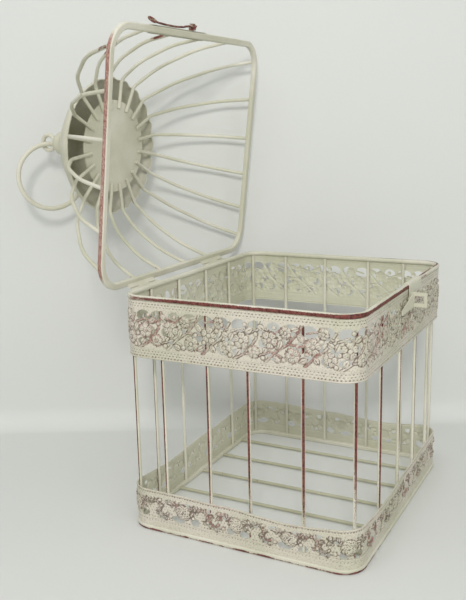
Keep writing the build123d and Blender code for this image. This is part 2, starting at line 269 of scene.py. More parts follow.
def rib_wear(n):
    """A few brown streaks on the outer sides of some ribs."""
    streak = n.noise(170.0, 3.0, (0.5, 0.5, 0.5), 0.6)
    place = n.noise(26.0, 1.0, shift=(0.4, 3.0, 1.1))
    outer = n.step(n.dot(n.normal, (-0.8, 0.7, 0.0)), 0.1, 0.8)
    both = n.math("MULTIPLY", n.math("MULTIPLY", streak, outer), n.step(place, 0.52, 0.66))
    return ragged(n, both, 0.08, 900.0, 0.25)


def slight_wear(n):
    """Small rubbed spots."""
    return n.math("MULTIPLY", n.step(n.noise(120.0, 4.0, rough=0.7), 0.66, 0.74), 0.6)


def relief_wear(n):
    """Edges and high spots of the embossing show the primer, more in some places than in others."""
    zone = n.step(n.noise(24.0, 2.0, shift=(2.0, 0.0, 1.0)), 0.36, 0.66)
    value = n.math("MULTIPLY", n.attribute("relief"), n.math("ADD", 0.34, n.math("MULTIPLY", zone, 0.36)))
    return n.math("MULTIPLY", ragged(n, value, 0.16, 1300.0, 0.90, 0.4), 0.85)


def relief_shade_and_flecks(n):
    """Painted shade as dark, broken lines in the hollows, and a scatter of small dark flecks over the whole sheet.
    """
    broken = n.step(n.noise(260.0, 3.0, rough=0.7), 0.34, 0.60)
    line = n.math("MULTIPLY", n.step(n.attribute("recess_shade"), 0.15, 0.9), n.math("ADD", 0.45, broken), True)
    specks = n.noise(700.0, 4.0, rough=0.75, shift=(4.0, 0.0, 2.0))
    fleck = n.math("MULTIPLY", n.step(specks, 0.52, 0.66), 0.5)
    return n.math("MAXIMUM", n.math("MULTIPLY", line, 0.85), fleck)


def hook_wear(n):
    """Most of the hook is bare."""
    return n.step(n.noise(420.0, 3.0), 0.30, 0.52)


def faint_wear(n):
    """Hardly any wear: a few faint spots."""
    return n.math("MULTIPLY", n.step(n.noise(150.0, 3.0), 0.72, 0.78), 0.3)


PAINTS = {
    "worn_rim_paint": worn_paint("worn_rim_paint", CREAM, SAGE, rim_wear),
    "base_rim": worn_paint("base_rim_paint", CREAM, SAGE, base_rim_wear),
    "upright_paint": worn_paint("upright_paint", CREAM, SAGE, upright_wear),
    "floor_wire_paint": worn_paint("floor_wire_paint", SAGE, SAGE_DARK, slight_wear),
    "hardware_paint": worn_paint("hardware_paint", CREAM, SAGE, slight_wear),
    "lid_frame_paint": worn_paint("lid_frame_paint", CREAM, SAGE, lid_frame_wear, None, (RUST_PALE, RUST)),
    "rib_paint": worn_paint("rib_paint", CREAM, SAGE, rib_wear),
    "cap_paint": worn_paint("cap_paint", CREAM, SAGE, faint_wear),
    "hook_metal": worn_paint("hook_metal", RUST_PALE, SAGE_DARK, hook_wear),
    "ring_paint": worn_paint("ring_paint", CREAM, SAGE, faint_wear),
    "band_paint": worn_paint("band_paint", CREAM_WARM, SAGE, relief_wear, relief_shade_and_flecks,
                             (RUST_PALE, RUST)),
    # Painted shade: the bands' inner skin gets a greener sage paint than the outer skin, for the shade inside the
    # box.
    "band_inside": worn_paint("band_inside", SAGE_PALE, SAGE, faint_wear),
}


# ================================================================ mesh helpers

def new_piece(name, mesh, body, stands_for=()):
    """Links a finished mesh as a piece that rides on a body."""
    piece = bpy.data.objects.new(name, mesh)
    bpy.context.scene.collection.objects.link(piece)
    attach(piece, body)
    if stands_for:
        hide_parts(*stands_for)


def mesh_of(name, points, faces, materials, sharp=40.0):
    """Mesh from points in millimetres, smooth except at sharp edges."""
    mesh = bpy.data.meshes.new(name)
    mesh.from_pydata((np.asarray(points, float) * MM).tolist(), [], faces)
    mesh.validate()
    for material in materials:
        mesh.materials.append(material)
    mesh.shade_smooth()
    mesh.set_sharp_from_angle(angle=math.radians(sharp))
    return mesh


def open_lid(points):
    """Points of the closed box's frame, in mm, turned with the lid to where it stands open."""
    turned = Matrix.Rotation(-OPEN_ANGLE, 3, "X")
    return [tuple(turned @ (Vector(p) - HINGE) + HINGE) for p in points]


def place_lid(points):
    """Points of the lid's own frame, in mm, to where the lid stands open."""
    return open_lid([(x, y, z + LID_Z) for x, y, z in points])


def lean(points):
    """The dome's top leans a little about a point on its axis."""
    pivot = Vector((0, 0, LEAN_PIVOT))
    turned = Matrix.Rotation(LEAN_Y, 3, "Y") @ Matrix.Rotation(LEAN_X, 3, "X")
    return [tuple(turned @ (Vector(p) - pivot) + pivot) for p in points]


def smooth_path(points, per_span=6):
    """Catmull-Rom line through the points."""
    p = [Vector(q) for q in points]
    p = [2 * p[0] - p[1]] + p + [2 * p[-1] - p[-2]]
    line = []
    for i in range(1, len(p) - 2):
        for k in range(per_span):
            t = k / per_span
            a, b, c, d = p[i - 1], p[i], p[i + 1], p[i + 2]
            line.append(0.5 * ((2 * b) + (c - a) * t + (2 * a - 5 * b + 4 * c - d) * t * t
                               + (3 * b - a - 3 * c + d) * t ** 3))
    line.append(p[-2])
    return line


def tube(path, radius, sides=12):
    """Points and faces of a round wire along a path, with closed ends."""
    points, faces = [], []
    path = [Vector(p) for p in path]
    tangent = (path[1] - path[0]).normalized()
    side = tangent.orthogonal().normalized()
    for i, centre in enumerate(path):
        ahead = path[min(i + 1, len(path) - 1)] - path[max(i - 1, 0)]
        ahead.normalize()
        side = (side - ahead * side.dot(ahead)).normalized()
        other = ahead.cross(side)
        for k in range(sides):
            a = 2 * math.pi * k / sides
            points.append(centre + (side * math.cos(a) + other * math.sin(a)) * radius)
    for i in range(len(path) - 1):
        for k in range(sides):
            a, b = i * sides + k, i * sides + (k + 1) % sides
            faces.append((a, b, b + sides, a + sides))
    last = (len(path) - 1) * sides
    faces.append(tuple(reversed(range(sides))))
    faces.append(tuple(last + k for k in range(sides)))
    return [tuple(p) for p in points], faces


def joined(parts):
    """Several (points, faces) lists as one."""
    points, faces = [], []
    for part_points, part_faces in parts:
        start = len(points)
        points += list(part_points)
        faces += [tuple(start + i for i in face) for face in part_faces]
    return points, faces


# ================================================================ pressed and pierced bands

def side_lengths():
    """Straight lengths and the corner's arc length on the bands' outside, mm."""
    arc = math.pi / 2 * (CORNER + BAND_OUT)
    return 2 * (RIM_X - CORNER), 2 * (RIM_Y - CORNER), arc


def around(s):
    """Points and outward normals on the bands' outside. s runs round the box from the near side's
    middle, towards the latch side."""
    long_side, short_side, arc = side_lengths()
    total = 2 * long_side + 2 * short_side + 4 * arc
    s = np.mod(s, total)
    x = np.zeros_like(s)
    y = np.zeros_like(s)
    nx = np.zeros_like(s)
    ny = np.zeros_like(s)
    cx, cy, r = RIM_X - CORNER, RIM_Y - CORNER, CORNER + BAND_OUT
    # Each entry: straight run's length, its start, its direction and its outward normal.
    runs = [(short_side / 2, (-cx - r, 0), (0, -1), (-1, 0)), (long_side, (-cx, -cy - r), (1, 0), (0, -1)),
            (short_side, (cx + r, -cy), (0, 1), (1, 0)), (long_side, (cx, cy + r), (-1, 0), (0, 1)),
            (short_side / 2, (-cx - r, cy), (0, -1), (-1, 0))]
    at = 0.0
    for length, start, along, out in runs:
        on = (s >= at) & (s <= at + length)
        t = s[on] - at
        x[on] = start[0] + along[0] * t
        y[on] = start[1] + along[1] * t
        nx[on], ny[on] = out
        at += length
        end = (start[0] + along[0] * length, start[1] + along[1] * length)
        on = (s > at) & (s < at + arc)
        a = (s[on] - at) / r
        nx[on] = out[0] * np.cos(a) + along[0] * np.sin(a)
        ny[on] = out[1] * np.cos(a) + along[1] * np.sin(a)
        x[on] = end[0] - out[0] * r + nx[on] * r
        y[on] = end[1] - out[1] * r + ny[on] * r
        at += arc
    return x, y, nx, ny, total


class Relief:
    """A sheet's pattern on a grid: where there is metal, how high it stands, how worn, and how much painted shade
    lies in its recesses and along its raised edges.
    """

    def __init__(self, u, v, length):
        self.u, self.v, self.length = u, v, length
        self.metal = np.full(u.shape, 1e3)
        self.high = np.zeros(u.shape)
        self.rub = np.zeros(u.shape)
        self.recess_shade = np.zeros(u.shape)

    def offset(self, cu, cv):
        """Distances along and up the sheet from a point's nearest repeat."""
        du = np.mod(self.u - cu + self.length / 2, self.length) - self.length / 2
        return du, self.v - cv

    def add(self, distance, height, rub, soft=1.0):
        """Metal where distance < 0, raised to height, with a soft shoulder."""
        self.metal = np.minimum(self.metal, distance)
        rise = np.clip(-distance / soft, 0, 1)
        rise = rise * rise * (3 - 2 * rise)
        lifted = height * rise >= self.high
        self.high = np.maximum(self.high, height * rise)
        edge = np.clip(1.6 + distance, 0, 1) * (distance < 0)
        self.rub = np.where((distance < 0) & lifted, rub * (0.45 + 0.55 * edge), self.rub)
        self.recess_shade = np.where(distance < -0.3, 0.0, self.recess_shade)
        # Painted shade: a thin dark outline just outside each raised element, where it meets the sheet.
        outline = np.clip(1 - np.abs(distance - 0.25) / 0.8, 0, 1)
        self.recess_shade = np.maximum(self.recess_shade, outline)

    def press(self, distance, depth, dark=1.0, soft=0.5):
        """Presses the sheet in where distance < 0."""
        fall = np.clip(-distance / soft, 0, 1)
        self.high -= depth * fall
        # Painted shade in the pressed hollow, as strong as dark.
        self.recess_shade = np.maximum(self.recess_shade, dark * fall)
        self.rub *= 1 - 0.7 * fall

    def pierce(self, distance):
        """Opens the sheet where distance < 0."""
        self.metal = np.maximum(self.metal, -distance)

    def flower(self, cu, cv, radius, turn=0.0, height=1.0, petals=5):
        """Petals with grooves between them, a ring of stamens and a raised middle."""
        du, dv = self.offset(cu, cv)
        r = np.hypot(du, dv)
        a = np.arctan2(dv, du) - turn
        lobe = np.abs(np.cos(petals * a / 2))
        edge = radius * (0.70 + 0.30 * lobe ** 0.6) - 0.10 * radius * (lobe > 0.97)
        self.add(r - edge, height, 0.95, 1.6)
        near = r < radius * 1.1
        groove = np.where(near & (lobe < 0.22) & (r > radius * 0.25), -1.0, 1.0)
        self.press(groove, 0.35, 0.9)
        stamen = np.where(near & (np.abs(np.mod(a * petals * 3 / (2 * np.pi), 1) - 0.5) < 0.22)
                          & (r > radius * 0.45) & (r < radius * 0.8), -1.0, 1.0)
        self.press(stamen, 0.22, 0.6)
        self.add(r - radius * 0.26, height * 1.25, 1.0, 0.7)
        self.press(np.abs(r - radius * 0.34) - 0.35, 0.4, 0.9)

    def leaf(self, cu, cv, length, width, turn, height=0.7):
        """Pointed leaf with a pressed midrib."""
        du, dv = self.offset(cu, cv)
        c, s = math.cos(turn), math.sin(turn)
        along, across = du * c + dv * s, -du * s + dv * c
        t = np.clip(along / length, -0.5, 0.5)
        half = width / 2 * np.cos(np.pi * t) ** 0.8
        distance = np.maximum(np.abs(across) - half, np.abs(along) - length / 2)
        self.add(distance, height, 0.75, 1.2)
        inside = distance < -0.2
        self.press(np.where(inside & (np.abs(across) < 0.35), -1.0, 1.0), 0.35, 0.8)

    def stroke(self, points, width, height=0.8, rub=0.9):
        """Raised stem along a line of points."""
        best = np.full(self.u.shape, 1e3)
        for (u0, v0), (u1, v1) in zip(points, points[1:]):
            du, dv = self.offset(u0, v0)
            lu, lv = u1 - u0, v1 - v0
            t = np.clip((du * lu + dv * lv) / (lu * lu + lv * lv), 0, 1)
            best = np.minimum(best, np.hypot(du - t * lu, dv - t * lv))
        self.add(best - width / 2, height, rub, 0.8)

    def disc(self, cu, cv, radius, height=0.9, rub=0.8):
        """Small round bud or bead."""
        du, dv = self.offset(cu, cv)
        self.add(np.hypot(du, dv) - radius, height, rub, 1.3)

    def hole(self, cu, cv, half_u, half_v, turn=0.0):
        """Oval opening."""
        du, dv = self.offset(cu, cv)
        c, s = math.cos(turn), math.sin(turn)
        along, across = du * c + dv * s, -du * s + dv * c
        scale = min(half_u, half_v)
        self.pierce((np.hypot(along / half_u, across / half_v) - 1) * scale)

    def border(self, inside):
        """A flat border where inside > 0, which covers whatever reached over it."""
        on = inside > 0
        self.metal = np.where(on, -np.maximum(inside, 1.0), self.metal)
        for field in (self.high, self.rub, self.recess_shade):
            field[on] = 0.0

    def ridge(self, line, half, height, rub=0.5):
        """A thin raised line, with a painted shade line where it meets the sheet."""
        distance = np.abs(self.v - line) - half
        self.high += height * np.clip(-distance / half, 0, 1)
        self.rub = np.where(distance < 0, rub, self.rub)
        self.recess_shade = np.maximum(self.recess_shade, 0.55 * np.clip(1 - np.abs(distance - 0.3) / 0.5, 0, 1))

    def dots(self, line, pitch, half_u, half_v, depth=0.4, shift=0.0):
        """A row of punched dots at the height line, darkened with painted shade."""
        du = np.mod(self.u + shift * pitch, pitch) - pitch / 2
        self.press((np.hypot(du / half_u, (self.v - line) / half_v) - 1) * half_v, depth, 1.0, 0.3)


def arc_points(cu, cv, radius, start, end, count, grow):
    """Points along an arc or a spiral, angles in degrees."""
    made = []
    for i in range(count):
        t = i / (count - 1)
        a = math.radians(start + (end - start) * t)
        r = radius + grow * t
        made.append((cu + r * math.cos(a), cv + r * math.sin(a)))
    return made


GRID = 0.75                                     # spacing of the bands' grid, mm
MOTIFS = 10                                     # repeats of the top band's pattern round the box
MENDING_ROUNDS = 4
EDGE_SHIFT = 0.6                                # farthest that a point on an edge moves, in grid steps
LEAST_SLOPE = 0.2                               # keeps that move small where the metal field is flat


def metal_cells(metal):
    """Grid cells that hold metal. Cells that would meet at a corner alone get a neighbour."""
    cell = 0.25 * (metal[:-1] + metal[1:])
    cell = (cell + np.roll(cell, -1, axis=1)) < 0
    for _ in range(MENDING_ROUNDS):
        a, b = cell[:-1], cell[1:]
        ar, br = np.roll(a, -1, axis=1), np.roll(b, -1, axis=1)
        first = a & br & ~ar & ~b
        second = ar & b & ~a & ~br
        if not (first.any() or second.any()):
            break
        cell[1:][first] = True
        cell[:-1][second] = True
    return cell


def cells_round(cell, shape):
    """How many metal cells touch each grid point."""
    rows = shape[0]
    count = np.zeros(shape, int)
    for dr in (0, 1):
        for dc in (0, 1):
            touching = np.zeros(shape, int)
            touching[dr:rows - 1 + dr] = cell
            count += np.roll(touching, dc, axis=1)
    return count


def edge_moves(relief, edge):
    """How far points on the metal's edge move, along and up the sheet, towards its outline."""
    metal = relief.metal
    step_u = relief.u[0, 1] - relief.u[0, 0]
    step_v = relief.v[1, 0] - relief.v[0, 0]
    slope_u = (np.roll(metal, -1, 1) - np.roll(metal, 1, 1)) / (2 * step_u)
    slope_v = np.gradient(metal, axis=0) / step_v
    size = np.maximum(slope_u ** 2 + slope_v ** 2, LEAST_SLOPE)
    move_u = np.clip(-metal * slope_u / size, -EDGE_SHIFT * step_u, EDGE_SHIFT * step_u) * edge
    move_v = np.clip(-metal * slope_v / size, -EDGE_SHIFT * step_v, EDGE_SHIFT * step_v) * edge
    return move_u, move_v


def pressed_sheet(name, relief, z_of_v, stands_for):
    """Makes the band's mesh: the pierced grid as outer and inner skins with walls between them."""
    shape = relief.metal.shape
    cell = metal_cells(relief.metal)
    count = cells_round(cell, shape)
    edge = (count > 0) & (count < 4)
    edge[0] = False
    edge[-1] = False
    move_u, move_v = edge_moves(relief, edge)
    uu = relief.u + move_u
    z = z_of_v(uu, relief.v + move_v)
    high = relief.high
    x, y, nx, ny, _ = around(uu)
    used = count > 0
    total = int(used.sum())
    index = -np.ones(shape, int)
    index[used] = np.arange(total)
    outer = np.stack([x + nx * high, y + ny * high, z], -1)[used]
    inner = np.stack([x + nx * (high - SHEET), y + ny * (high - SHEET), z], -1)[used]
    right = np.roll(index, -1, axis=1)
    quads = np.stack([index[:-1], right[:-1], right[1:], index[1:]], -1)[cell]
    faces = quads.tolist() + (quads[:, ::-1] + total).tolist()
    pairs = np.concatenate([quads[:, [k, (k + 1) % 4]] for k in range(4)])
    forward = {(a, b) for a, b in pairs.tolist()}
    walls = [(a, a + total, b + total, b) for a, b in pairs.tolist() if (b, a) not in forward]
    mesh = mesh_of(name, np.concatenate([outer, inner]), faces + walls,
                   [PAINTS["band_paint"], PAINTS["band_inside"]], 50.0)
    # Inner skin faces take band_inside, whose sage paint is painted shade for the inside of the box.
    material = np.zeros(len(mesh.polygons), np.int32)
    material[len(quads):2 * len(quads)] = 1
    mesh.polygons.foreach_set("material_index", material)
    # The recess shade field goes to the material as painted shade; the rub field goes as wear.
    for label, field in (("relief", relief.rub), ("recess_shade", relief.recess_shade)):
        values = np.concatenate([field[used], np.zeros(total)]).astype(np.float32)
        mesh.attributes.new(label, "FLOAT", "POINT").data.foreach_set("value", values)
    new_piece(name, mesh, "box", stands_for)


def blank_sheet(height, repeats):
    """A plain sheet round the box, whose pattern repeats so many times."""
    total = around(np.zeros(1))[4]
    cols = int(round(total / GRID))
    rows = int(round(height / GRID)) + 1
    u = np.linspace(0, total, cols, endpoint=False)
    v = np.linspace(0, height, rows)
    grid_u, grid_v = np.meshgrid(u, v)
    relief = Relief(grid_u, grid_v, total / repeats)
    relief.metal[:] = -5.0
    return relief


# The top band's pattern, mm along one repeat and mm up from the band's lower edge.
TOP_FIRST = 9.6                                 # height of the dotted border along the lower edge
TOP_LAST = 7.2                                  # height of the one along the upper edge
TOP_DRAWN = 30.2                                # height between them that the pattern is drawn for
OPENING_PITCH = 15.2
BORDER_DOT = (3.2, 0.95, 0.66, 0.45)            # pitch, half width, half height, depth
BRANCHES = (([(2, 9.6), (12, 15), (22, 26), (25, 39.8)], 1.8),
            ([(12, 15), (24, 14), (35, 18), (44, 15)], 1.6),
            ([(30, 9.6), (40, 19), (50, 25), (60, 36), (62, 39.8)], 1.8),
            ([(50, 25), (62, 24), (74, 29)], 1.6),
            ([(64, 9.6), (72, 17), (82, 24), (90, 36)], 1.8),
            ([(0, 30), (8, 33), (16, 30), (28, 35), (38, 32), (46, 36)], 1.6),
            ([(66, 34), (76, 36), (88, 31)], 1.6))
# Place, length and turn of each leaf; place, radius and turn of each blossom; place of each bud.
LEAVES = ((16, 32, 9, 0.6), (27, 35, 8, -0.7), (43, 24, 9, 1.2), (61, 30, 9, -0.9),
          (63, 14, 9, 0.5), (40, 13, 8, -0.5), (91, 26, 9, 1.1), (6, 15, 8, 0.9),
          (56, 36, 8, 0.3), (74, 15, 7, -1.0), (30, 19, 6, 0.9), (86, 27, 7, -0.5))
LEAF_WIDTH = 4.6
BLOSSOMS = ((9, 24, 7.2, 0.3), (34, 26.5, 7.6, 1.0), (20, 16.5, 5.6, 0.1), (54, 17, 6.8, 0.7),
            (71, 25, 7.4, 0.2), (85, 17, 6.2, 1.3), (48, 33, 5.4, 0.5), (80, 35, 5.0, 0.9))
BUDS = ((28, 13), (46, 13), (1, 21), (22, 30), (58, 24),
        (66, 19), (78, 29), (90, 12), (12, 36), (38, 36))
BUD_RADIUS = 1.9


def top_band():
    """Blossom branches between two dotted borders."""
    low = TOP_BAND_LOW
    height = BOX_TOP - BAR + 0.1 - low
    r = blank_sheet(height, MOTIFS)
    bottom, top = TOP_FIRST, height - TOP_LAST
    stretch = (top - bottom) / TOP_DRAWN

    def up(v):
        return bottom + (v - bottom) * stretch

    for i in range(6):                           # three staggered rows, each opening a little different
        along = OPENING_PITCH * i
        turn = 0.5 * math.sin(4.1 * i)
        r.hole(7.0 + along, up(35.0), 7.0 + math.sin(2.3 * i), 5.2, 0.2 * turn)
        r.hole(14.0 + along, up(23.5) + math.sin(3.7 * i), 4.8, 4.2 + 0.8 * math.cos(1.7 * i), turn)
        r.hole(6.0 + along, up(14.8), 4.8 + 0.8 * math.cos(2.9 * i), 3.5, -turn)
    for line, width in BRANCHES:
        r.stroke([(cu, up(cv)) for cu, cv in line], width)
    for cu, cv, size, turn in LEAVES:
        r.leaf(cu, up(cv), size, LEAF_WIDTH, turn)
    for cu, cv, size, turn in BLOSSOMS:
        r.flower(cu, up(cv), size, turn)
    for cu, cv in BUDS:
        r.disc(cu, up(cv), BUD_RADIUS)
    r.border(bottom - r.v)
    r.border(r.v - top)
    for line in (bottom - 0.7, top + 0.7, 0.7):
        r.ridge(line, 0.45, 0.4)
    for i, line in enumerate((2.3, 4.5, 6.7)):
        r.dots(line, *BORDER_DOT, 0.5 * i)
    for i, line in enumerate((top + 2.8, top + 5.0)):
        r.dots(line, *BORDER_DOT, 0.5 * i)
    pressed_sheet("top_band_pressed", r, lambda uu, vv: low + vv, ["top_band"])


# Wavy top edge of the base band: distance along a side, height. The CAD band has the same wave.
BASE_WAVE = ((-112, 39.5), (-95, 39.0), (-75, 36.5), (-50, 34.8), (-22, 36.4), (3, 38.6),
             (26, 38.0), (52, 39.4), (80, 40.4), (112, 40.0))
WAVE_REACH = 112                                # a side's middle to its end, in the wave's distances
WAVE_STEPS = 200
WAVE_SMOOTHING = 8                              # steps to each side that a height is averaged over
WAVE_UNDER = 0.25                               # the pressed edge stays this far under the wave


def wave_height(u):
    """Height of the base band's wavy edge. It follows the same wave along every side."""
    x, y = around(u)[:2]
    at = np.array([p[0] for p in BASE_WAVE], float)
    top = np.array([p[1] for p in BASE_WAVE], float)
    dense = np.linspace(at[0], at[-1], WAVE_STEPS)
    smooth = np.interp(dense, at, top)
    window = 2 * WAVE_SMOOTHING + 1
    padded = np.pad(smooth, WAVE_SMOOTHING, mode="edge")
    smooth = np.convolve(padded, np.ones(window) / window, mode="valid")
    along_y = np.interp(y * WAVE_REACH / (RIM_Y - 2), dense, smooth)
    along_x = np.interp(x * WAVE_REACH / (RIM_X - 2), dense, smooth)
    return np.minimum(along_y, along_x) - WAVE_UNDER


# The base band's pattern, mm along one repeat and mm up, drawn for an even height.
BASE_DRAWN = 34.0
BASE_FIRST = 7.6                                # height of the border along the lower edge
BASE_LAST = 28.6                                # where the border along the wavy edge begins
# Place, half width, half height and turn of each opening.
BASE_OPENINGS = ((9, 12, 4.6, 2.6, 0.2), (27, 12.5, 3.4, 2.6, -0.3), (45, 11.5, 5.4, 2.6, 0.0),
                 (62, 12, 3.6, 2.8, 0.5), (80, 12, 4.6, 2.4, -0.2), (18, 24.5, 3.4, 2.4, 0.6),
                 (36, 26, 4.2, 2.0, 0.1), (56, 24.5, 4.0, 2.2, -0.5), (74, 26, 3.6, 2.0, 0.3),
                 (93, 24, 3.4, 2.2, 0.1), (97, 12, 3.0, 2.4, 0.0))
OPENING_SCALE = 1.25
# Centre, radius and first and last angle of each scroll.
SCROLLS = ((20, 20, 7.2, -60, 170), (31, 17, 6.2, 120, 330), (68, 20, 7.2, -60, 170),
           (82, 17.5, 6.2, 120, 330), (90, 22, 5.0, 0, 200), (40, 22, 4.5, -40, 160),
           (11, 21, 4.0, 60, 250), (60, 21, 4.0, 60, 250))
SCROLL_POINTS = 11
SCROLL_CURL = -2.6                              # how much a scroll's radius changes to its end
BEADS = ((12, 15.5), (26, 26.5), (44, 27.5), (60, 15.5), (75, 15.5),
         (86, 26.5), (97, 15.5), (37, 13), (90, 13))
ROSETTES = ((0, 18.8, 7.0), (50, 19.0, 7.2))    # place and radius


def rosette(r, cu, cv, radius):
    """Raised round flower covered with curved rows of dots."""
    du, dv = r.offset(cu, cv)
    out = np.hypot(du, dv)
    r.add(out - radius, 1.4, 0.9, 2.4)
    swirl = np.cos(out * 3.6) * np.cos(np.arctan2(dv, du) * 9 + out * 1.2)
    r.press(np.where((out < radius * 0.94) & (swirl < -0.2), -1.0, 1.0), 0.5, 0.95)


def base_band():
    """Round dotted flowers between scrolls, under a wavy edge."""
    low = BASE_BAND_LOW
    r = blank_sheet(BASE_DRAWN, MOTIFS - 1)
    for cu, cv, half_u, half_v, turn in BASE_OPENINGS:
        r.hole(cu, cv, OPENING_SCALE * half_u, OPENING_SCALE * half_v, turn)
    for k in range(7):                           # stippled ground between the scrolls
        r.dots(10.0 + 2.7 * k, 3.0, 0.8, 0.6, 0.25, 0.5 * (k % 2))
    for cu, cv, size, first, last in SCROLLS:
        r.stroke(arc_points(cu, cv, size, first, last, SCROLL_POINTS, SCROLL_CURL), 2.1, 1.2)
        for k in range(5):
            a = math.radians(first + (last - first) * (0.05 + 0.22 * k))
            r.leaf(cu + size * math.cos(a), cv + size * math.sin(a), 6.4, 2.7, a + 0.6, 1.1)
    for cu, cv in BEADS:
        r.disc(cu, cv, 1.7, 1.2)
    for cu, cv, radius in ROSETTES:
        rosette(r, cu, cv, radius)
    r.border(BASE_FIRST - r.v)
    r.ridge(8.2, 0.6, 0.5)
    r.dots(6.2, 3.0, 0.85, 0.5, 0.35)
    r.border(r.v - BASE_LAST)
    r.ridge(28.4, 0.4, 0.4)
    r.ridge(33.4, 0.6, 0.45, 0.95)
    r.dots(31.5, 2.6, 0.95, 0.62, 0.45)
    r.dots(29.8, 2.6, 0.85, 0.5, 0.35, 0.5)

    def height_of(uu, vv):
        return low + vv / BASE_DRAWN * (wave_height(uu) - low)

    pressed_sheet("base_band_pressed", r, height_of, ["base_band"])


# ================================================================ lid pieces

# Radius and height of the cap's outside, in the lid, from its rim to the neck.
CAP_PROFILE = ((68.4, 87.6), (67.3, 93.0), (63.6, 99.0), (59.0, 104.5), (52.8, 110.8), (46.5, 117.0),
               (39.4, 123.6), (32.5, 130.0), (26.4, 136.0), (20.5, 142.0), (16.0, 146.6), (12.3, 150.6))
CAP_SHEET = 1.2
PLEATS = 20
PLEAT_POINTS = 10                               # points round each pleat
PLEAT_DEPTH = 1.6                               # at the rim
SCALLOP = 1.6                                   # how far the rim rises between pleats


def dome_cap():
    """Spun cap with pleats that run out to a scalloped rim."""
    n = PLEATS * PLEAT_POINTS
    line = smooth_path([(r, 0, z) for r, z in CAP_PROFILE], 3)
    outer, inner = [], []
    for i, p in enumerate(line):
        share = 1 - i / (len(line) - 1)
        depth = PLEAT_DEPTH * share ** 1.6
        for k in range(n):
            a = 2 * math.pi * k / n
            wave = 0.5 + 0.5 * math.cos(PLEATS * a)
            push = -depth * (1 - wave)
            rise = SCALLOP * (1 - wave) * share ** 6
            for skin, shift in ((outer, 0.0), (inner, -CAP_SHEET)):
                r = p.x + push + shift * (0.9 if i < len(line) - 1 else 1)
                z = p.z + rise + shift * 0.5 * (1 - share)
                skin.append((r * math.cos(a), r * math.sin(a), z))
    faces = []
    rows = len(line)
    for i in range(rows - 1):
        for k in range(n):
            a, b = i * n + k, i * n + (k + 1) % n
            faces.append((a, b, b + n, a + n))
    total = rows * n
    faces += [tuple(total + q for q in reversed(f)) for f in faces]
    for k in range(n):
        b = (k + 1) % n
        faces.append((k, total + k, total + b, b))
    last = (rows - 1) * n
    faces.append(tuple(last + k for k in range(n)))
    faces.append(tuple(total + last + k for k in reversed(range(n))))
    mesh = mesh_of("dome_cap_pleated", place_lid(lean(outer + inner)), faces, [PAINTS["cap_paint"]], 60.0)
    new_piece("dome_cap_pleated", mesh, "lid", ["dome_cap"])


HOOK_X = -5.0
HOOK_Y = -116.7
HOOK_LEN = 68.0
HOOK_WIRE = 1.9
CURL_R = 4.4
CURL_RISE = 1.5
CURL_TILT = math.radians(35.0)
STUD_R = 1.26
COIL_TURNS = 3
COIL_STEPS = 16                                 # per turn
SHANK = ((-7.0, -1.4, 2.2), (-16.0, -0.2, 0.6), (-30.0, 0.5, 0.0), (-44.0, 0.4, 0.0), (-56.0, -0.2, 0.4))
CURL_START = -20.0                              # degrees
CURL_STEP = 27.0                                # degrees
CURL_POINTS = 16


def latch_hook():
    """Wire wound round the stud, then a slightly sagging shank that ends in a tilted curl."""
    r = HOOK_WIRE / 2
    coil = []
    for i in range(COIL_TURNS * COIL_STEPS + 1):
        a = 2 * math.pi * i / COIL_STEPS
        reach = STUD_R + r + 0.1 + 1.2 * (i / (COIL_TURNS * COIL_STEPS)) ** 2
        coil.append((reach * math.cos(a), 1.6 - 1.5 * r * i / COIL_STEPS, reach * math.sin(a)))
    curl = []
    for i in range(CURL_POINTS):
        a = math.radians(CURL_START + CURL_STEP * i)
        reach = CURL_R - 0.09 * i
        across = reach * math.sin(a)
        curl.append((-HOOK_LEN + reach * math.cos(a), -CURL_RISE - across * math.sin(CURL_TILT) - 0.05 * i,
                     across * math.cos(CURL_TILT)))
    path = smooth_path([coil[-1]] + list(SHANK) + curl, 5)
    centre = Vector((HOOK_X, HOOK_Y, LID_Z))
    parts = [tube([Vector(p) + centre for p in line], r, 12) for line in (coil, path)]
    points, faces = joined(parts)
    mesh = mesh_of("latch_hook_wire", open_lid(points), faces, [PAINTS["hook_metal"]], 60.0)
    new_piece("latch_hook_wire", mesh, "hook", ["latch_hook"])


TAB_START = -75.0
TAB_END = 20.0
TAB_SHEET = 0.45
TAB_COLUMNS = 40
LATCH_BAR_Y = -111                              # centre line of the lid's bar on the latch side
# Inside of the fold, across the bar and up, over its top and down its outer side.
TAB_FOLD = ((3.3, 2.3), (3.3, 2.9), (2.6, 2.95), (-2.6, 2.95), (-3.35, 2.3), (-3.45, 1.2), (-3.45, -1.6))


def latch_tab():
    """Sheet tab wrapped round the lid's bar behind the hook."""
    inner = [(LATCH_BAR_Y + y, z) for y, z in TAB_FOLD]
    grown = []
    for i, (y, z) in enumerate(inner):
        before = inner[max(i - 1, 0)]
        after = inner[min(i + 1, len(inner) - 1)]
        dy, dz = after[0] - before[0], after[1] - before[1]
        length = math.hypot(dy, dz)
        grown.append((y + dz / length * TAB_SHEET, z - dy / length * TAB_SHEET))
    ring = inner + grown[::-1]
    m = len(ring)
    points, faces = [], []
    for i in range(TAB_COLUMNS + 1):
        x = TAB_START + (TAB_END - TAB_START) * (i / TAB_COLUMNS)
        points += [(x, y, z) for y, z in ring]
    for i in range(TAB_COLUMNS):
        for k in range(m):
            a, b = i * m + k, i * m + (k + 1) % m
            faces.append((a, b, b + m, a + m))
    faces.append(tuple(range(m)))
    faces.append(tuple(TAB_COLUMNS * m + k for k in reversed(range(m))))
    mesh = mesh_of("latch_tab", place_lid(points), faces, [PAINTS["hardware_paint"]], 35.0)
    new_piece("latch_tab", mesh, "lid")


# ================================================================ stage, light and camera

